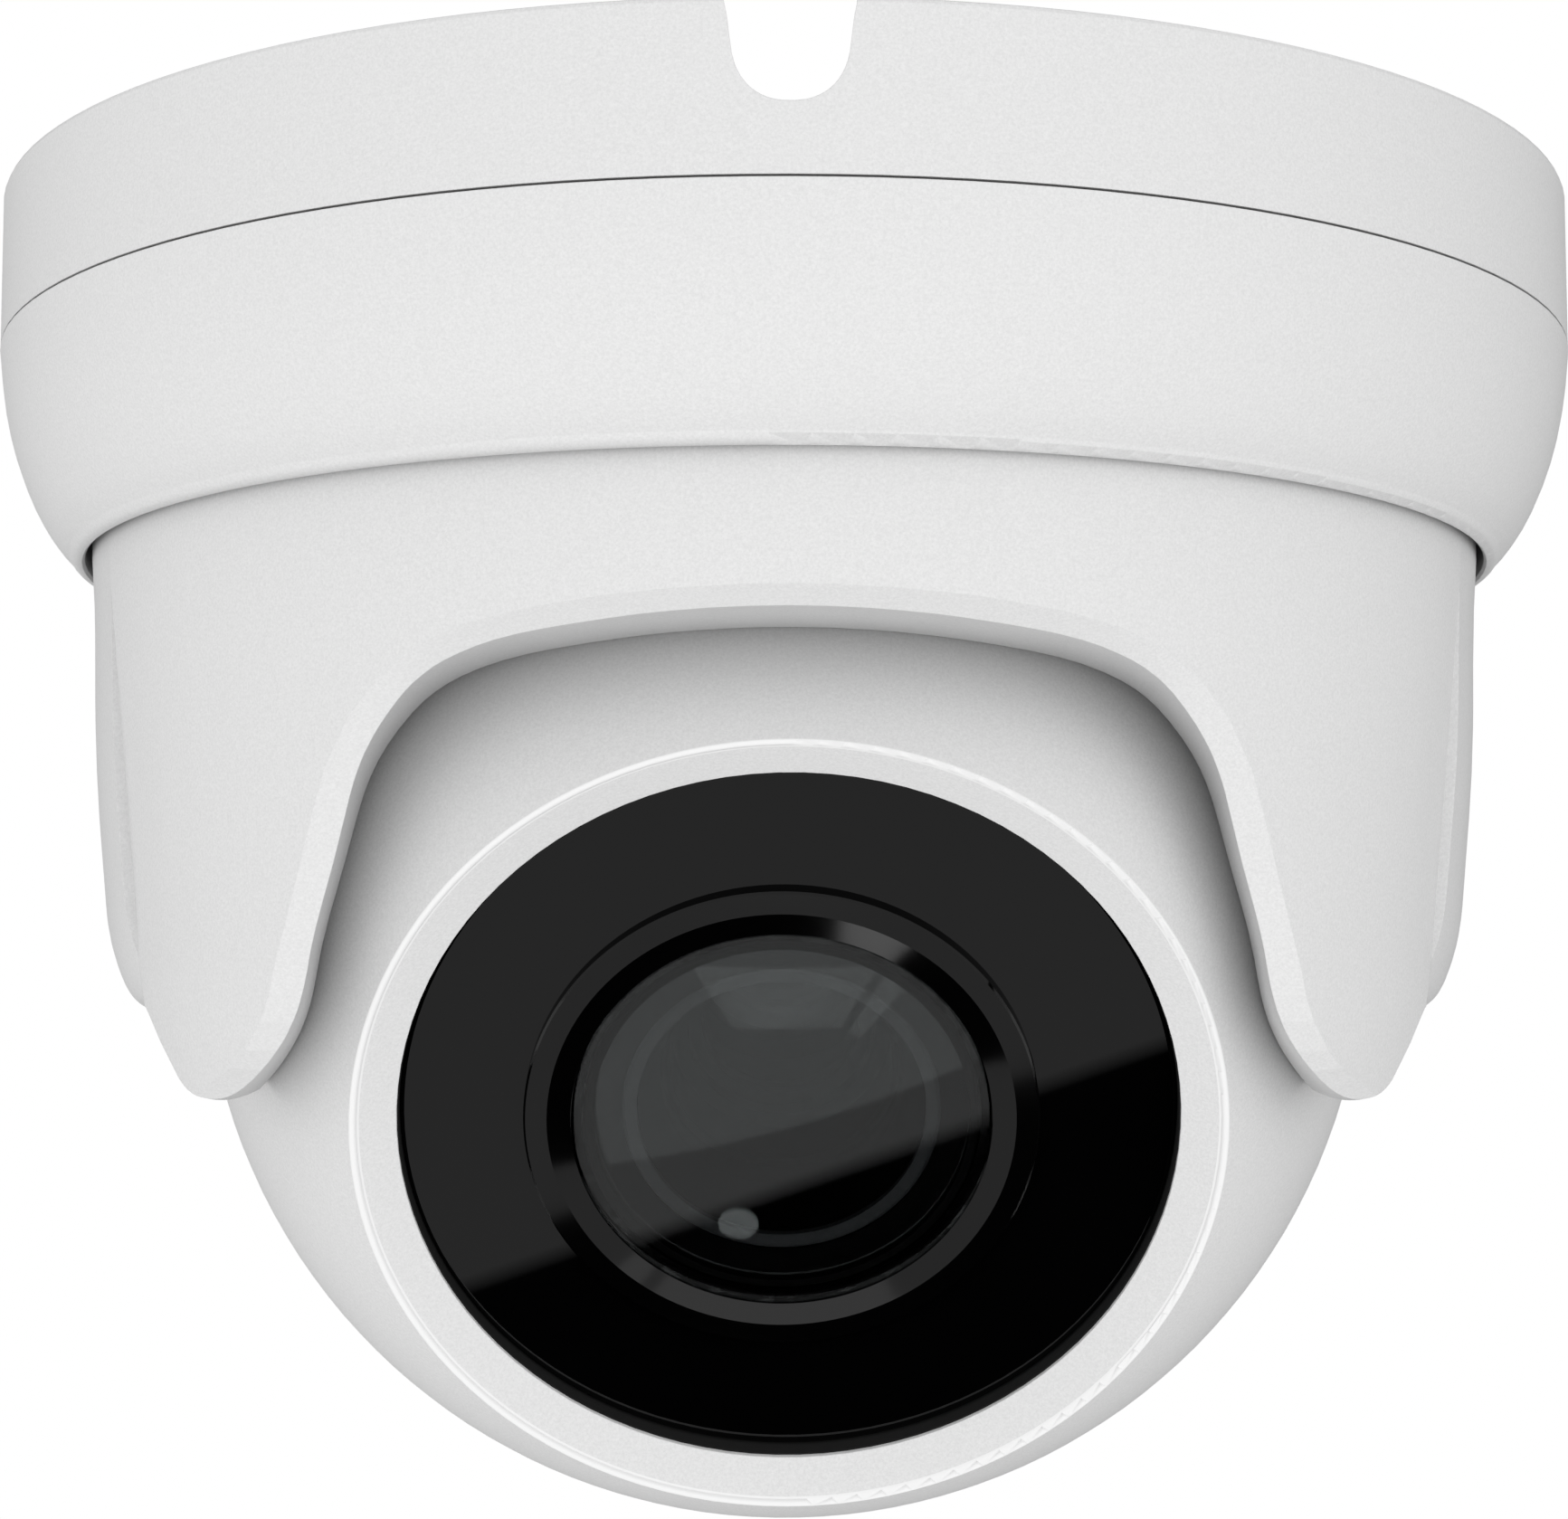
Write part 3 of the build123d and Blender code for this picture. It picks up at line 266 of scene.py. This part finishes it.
def coated(name, centre, strength):
    """Anti-reflection coated lens face: almost clear, faint mirror of the lights, normal taken from the sphere it is ground to."""
    m, nt, out = new_mat(name)
    ge = nt.nodes.new("ShaderNodeNewGeometry")
    sub = nt.nodes.new("ShaderNodeVectorMath")
    sub.operation = "SUBTRACT"
    sub.inputs[1].default_value = centre
    link(nt, ge.outputs["Position"], sub.inputs[0])
    nrm = nt.nodes.new("ShaderNodeVectorMath")
    nrm.operation = "NORMALIZE"
    link(nt, sub.outputs["Vector"], nrm.inputs[0])
    v = tex_coord(nt)
    n1 = noise(nt, v, 50.0, 2.0)
    tr = nt.nodes.new("ShaderNodeBsdfTransparent")
    link(nt, ramp(nt, n1, [(0.2, (0.95, 0.95, 0.955)), (0.8, (0.965, 0.965, 0.97))]), tr.inputs["Color"])
    gl = nt.nodes.new("ShaderNodeBsdfGlossy")
    gl.inputs["Roughness"].default_value = 0.0
    link(nt, nrm.outputs["Vector"], gl.inputs["Normal"])
    mix = nt.nodes.new("ShaderNodeMixShader")
    link(nt, mapr(nt, n1, strength * 0.97, strength * 1.03), mix.inputs["Fac"])
    link(nt, tr.outputs["BSDF"], mix.inputs[1])
    link(nt, gl.outputs["BSDF"], mix.inputs[2])
    link(nt, mix.outputs["Shader"], out.inputs["Surface"])
    return m


def pcb(name):
    """Solder-mask green with faint copper tracks under the mask."""
    m, nt, out = new_mat(name)
    v = tex_coord(nt)
    br = nt.nodes.new("ShaderNodeTexBrick")
    br.inputs["Scale"].default_value = 420.0
    br.inputs["Mortar Size"].default_value = 0.08
    br.inputs["Color1"].default_value = (0.010, 0.115, 0.045, 1)
    br.inputs["Color2"].default_value = (0.012, 0.135, 0.055, 1)
    br.inputs["Mortar"].default_value = (0.035, 0.20, 0.085, 1)
    link(nt, v, br.inputs["Vector"])
    p = principled(nt, out, rough=0.32, coat=0.35)
    link(nt, br.outputs["Color"], p.inputs["Base Color"])
    link(nt, bump(nt, br.outputs["Fac"], 0.15, 0.00003), p.inputs["Normal"])
    return m


def lamp_mat(name):
    m, nt, out = new_mat(name)
    v = tex_coord(nt)
    p = principled(nt, out, rough=0.08, ior=1.5, trans=0.55)
    n1 = noise(nt, v, 500.0, 3.0)
    link(nt, ramp(nt, n1, [(0.3, (0.30, 0.27, 0.36)), (0.7, (0.42, 0.38, 0.50))]), p.inputs["Base Color"])
    return m


MATS = {
    "white_powder_coat": powder("powder_white"),
    "black_window": gloss_black("ir_window_black"),
    "black_gloss": gloss_black("bezel_black", rough=0.05),
    "black_matte": plastic("matte_black", (0.022, 0.022, 0.024), 0.55),
    "black_rubber": plastic("rubber_black", (0.012, 0.012, 0.012), 0.72, 1800.0, 0.3),
    "clear_glass": clear("optical_glass"),
    "filter_glass": clear("filter_glass", 1.6, (0.35, 0.62, 0.66), 1.3),
    "anodised_black": plastic("anodised_black", (0.012, 0.012, 0.013), 0.38, 5200.0, 0.2),
    "cast_aluminium": metal("satin_aluminium", (0.70, 0.70, 0.71), 0.34),
    "plated_steel": metal("plated_steel", (0.62, 0.62, 0.63), 0.28),
    "circuit_green": pcb("solder_mask"),
    "chip_black": plastic("chip_black", (0.020, 0.020, 0.022), 0.5, 2200.0, 0.2),
    "lamp_clear": lamp_mat("lamp_resin"),
    "connector_ivory": plastic("connector_ivory", (0.68, 0.62, 0.50), 0.45),
    "ribbon_amber": plastic("ribbon_amber", (0.50, 0.24, 0.04), 0.3),
    "acetal_grey": plastic("acetal_grey", (0.30, 0.30, 0.31), 0.42),
}
slot_of = {s["node"]: s["material_slot"] for s in frame["record"]["subparts"]}
lens_black = plastic("lens_inner_black", (0.0035, 0.0035, 0.0036), 0.85, 2500.0, 0.0, spec=0.02)
OVERRIDE = {
    "front_lens_element": coated("coated_lens", DOME_C, 0.045),
    "lens_trim_ring": plastic("ring_grey", (0.050, 0.050, 0.051), 0.6, 3000.0, 0.0, spec=0.1),
    "lens_barrel": lens_black, "lens_front_collar": lens_black, "zoom_cell": lens_black, "focus_cell": lens_black,
    "light_baffle": lens_black,
    # the ball's front shell carries the painted lip highlight
    "ball_front_shell": paint_lip_highlight(powder("powder_white_ball_lip_highlight")),
}


def smooth(o, angle):
    me = o.data
    for pl in me.polygons:
        pl.use_smooth = True
    for nm in ("custom_normal",):
        if nm in me.attributes:
            me.attributes.remove(me.attributes[nm])
    me.set_sharp_from_angle(angle=math.radians(angle))


for n, o in nodes.items():
    m = OVERRIDE.get(n) or MATS[slot_of[n]]
    o.data.materials.clear()
    o.data.materials.append(m)
    for pl in o.data.polygons:
        pl.material_index = 0

# ------------------------------------------------------------------ world: even white room; a dark floor and a dim wall for the gloss
CAM_AZ = math.radians(-0.38)
cam_loc = Vector((0.0, -288.14, -75.08)) * MM
cam_pitch = math.radians(5.96)
rot = Matrix.Rotation(CAM_AZ, 4, "Z")
cam_loc = rot @ cam_loc
fwd = rot.to_3x3() @ Vector((0, math.cos(cam_pitch), math.sin(cam_pitch)))
upv = rot.to_3x3() @ Vector((0, -math.sin(cam_pitch), math.cos(cam_pitch)))
rgt = fwd.cross(upv)


def pixel_ray(px, py):
    return (fwd * 4158.8 + rgt * (px - 866.8) - upv * (py - 895.9)).normalized()


def mirror(r, n):
    return (r - n * (2 * r.dot(n))).normalized()


def dome_reflection(px, py):
    """Direction a view ray takes after the front lens element's outer face."""
    r = pixel_ray(px, py)
    oc = cam_loc - DOME_C
    b, c = r.dot(oc), oc.dot(oc) - DOME_R ** 2
    t = -b - math.sqrt(b * b - c)
    return mirror(r, (cam_loc + r * t - DOME_C).normalized())


dA, dB = mirror(pixel_ray(520, 1420), NW), mirror(pixel_ray(1297, 1150), NW)
split = dA.cross(dB).normalized()
if split.dot(mirror(pixel_ray(600, 1000), NW)) < 0:
    split = -split
# soft boxes, placed where the lens mirrors them: a wide one, a narrow strip beside it, and a small lamp
SOFT = [[(764, 1068), (972, 1068), (929, 1137), (810, 1137)], [(982, 1073), (1005, 1087), (951, 1148), (937, 1142)]]
SPOT, SPOT_HALF = dome_reflection(816, 1354), math.radians(1.35)

world = bpy.data.worlds.new("studio")
scene.world = world
world.use_nodes = True
nt = world.node_tree
nt.nodes.clear()
wout = nt.nodes.new("ShaderNodeOutputWorld")
geo = nt.nodes.new("ShaderNodeTexCoord")
lp = nt.nodes.new("ShaderNodeLightPath")


def dot_with(vec, d):
    n = nt.nodes.new("ShaderNodeVectorMath")
    n.operation = "DOT_PRODUCT"
    n.inputs[1].default_value = d
    link(nt, vec, n.inputs[0])
    return n.outputs["Value"]


DIRV = geo.outputs["Generated"]


def bg(strength, color=None, color_link=None, strength_link=None):
    b = nt.nodes.new("ShaderNodeBackground")
    b.inputs["Strength"].default_value = strength
    if color:
        b.inputs["Color"].default_value = (*color, 1)
    if color_link is not None:
        link(nt, color_link, b.inputs["Color"])
    if strength_link is not None:
        link(nt, strength_link, b.inputs["Strength"])
    return b.outputs["Background"]


def math_node(op, a, b=None, clamp=False):
    n = nt.nodes.new("ShaderNodeMath")
    n.operation = op
    n.use_clamp = clamp
    for i, v in enumerate((a, b)):
        if v is None:
            continue
        if isinstance(v, (int, float)):
            n.inputs[i].default_value = v
        else:
            link(nt, v, n.inputs[i])
    return n.outputs[0]


# diffuse light: an even base, large soft sources below, left, in front and to the front right
LOBES = [((0, 0, -1), 1.0, 0.471), ((-1, 0, 0), 2.0, 0.66), ((0, -1, 0), 2.0, 0.328), ((0.6, -0.8, 0), 5.0, 1.286),
         ((0, -0.75, 0.65), 5.0, 0.131), ((-0.55, -0.6, -0.6), 6.0, 0.599)]
amb = 0.435
for d, power, gain in LOBES:
    k = math_node("MAXIMUM", dot_with(DIRV, Vector(d).normalized()), 0.0)
    if power != 1.0:
        k = math_node("POWER", k, power)
    amb = math_node("ADD", math_node("MULTIPLY", k, gain), amb)
diffuse_bg = bg(1.0, (1, 1, 1), strength_link=math_node("MULTIPLY", amb, 0.955))
# gloss: a dim wall above the split plane, black below it, and the soft boxes
s = dot_with(DIRV, split)
wall = math_node("MULTIPLY", math_node("ADD", math_node("MULTIPLY", s, 200.0), 0.5, clamp=True), 0.46)
for quad in SOFT:
    ds = [dome_reflection(*q) for q in quad]
    mid_d = (ds[0] + ds[1] + ds[2] + ds[3]).normalized()
    inside = None
    for a_, b_ in zip(ds, ds[1:] + ds[:1]):
        e_ = a_.cross(b_).normalized()
        if e_.dot(mid_d) < 0:
            e_ = -e_
        g_ = math_node("ADD", math_node("MULTIPLY", dot_with(DIRV, e_), 900.0), 0.5, clamp=True)
        inside = g_ if inside is None else math_node("MULTIPLY", inside, g_)
    wall = math_node("ADD", wall, math_node("MULTIPLY", inside, 0.42))
spot = math_node("ADD", math_node("MULTIPLY", math_node("SUBTRACT", dot_with(DIRV, SPOT), math.cos(SPOT_HALF)), 40000.0), 0.5, clamp=True)
wall = math_node("ADD", wall, math_node("MULTIPLY", spot, 1.9))
gloss_bg = bg(1.0, (1, 1, 1), strength_link=wall)
cam_bg = bg(1.0, (1, 1, 1))
mix1 = nt.nodes.new("ShaderNodeMixShader")
link(nt, lp.outputs["Is Glossy Ray"], mix1.inputs["Fac"])
link(nt, diffuse_bg, mix1.inputs[1])
link(nt, gloss_bg, mix1.inputs[2])
mix2 = nt.nodes.new("ShaderNodeMixShader")
link(nt, lp.outputs["Is Camera Ray"], mix2.inputs["Fac"])
link(nt, mix1.outputs["Shader"], mix2.inputs[1])
link(nt, cam_bg, mix2.inputs[2])
link(nt, mix2.outputs["Shader"], wout.inputs["Surface"])

# ------------------------------------------------------------------ floor, far below
bpy.ops.mesh.primitive_plane_add(size=4.0, location=(0, 0, -0.66))
floor = bpy.context.object
floor.name = "studio_floor"
fm, fnt, fout = new_mat("pale_floor")
fp = principled(fnt, fout, rough=0.9, spec=0.0)
fp.inputs["Emission Color"].default_value = (1.0, 1.0, 1.0, 1.0)
fp.inputs["Emission Strength"].default_value = 0.35
fn = noise(fnt, tex_coord(fnt), 30.0, 3.0)
link(fnt, ramp(fnt, fn, [(0.3, (0.86, 0.86, 0.86)), (0.7, (0.88, 0.88, 0.88))]), fp.inputs["Base Color"])
floor.data.materials.append(fm)
floor.visible_glossy = False
floor.visible_diffuse = False

# ------------------------------------------------------------------ camera
cam = bpy.data.objects.new("camera", bpy.data.cameras.new("camera"))
scene.collection.objects.link(cam)
cam.data.sensor_width = 36.0
cam.data.lens = 4158.8 / 1733.0 * 36.0
cam.data.shift_x = (866.5 - 866.8) / 1733.0
cam.data.shift_y = (895.9 - 839.5) / 1733.0
cam.location = cam_loc
cam.rotation_mode = "QUATERNION"
cam.rotation_quaternion = fwd.to_track_quat("-Z", "Y")
cam.data.clip_start, cam.data.clip_end = 0.01, 50.0
scene.camera = cam

for n, o in nodes.items():
    smooth(o, 9 if n == "hood_shell" else 22)
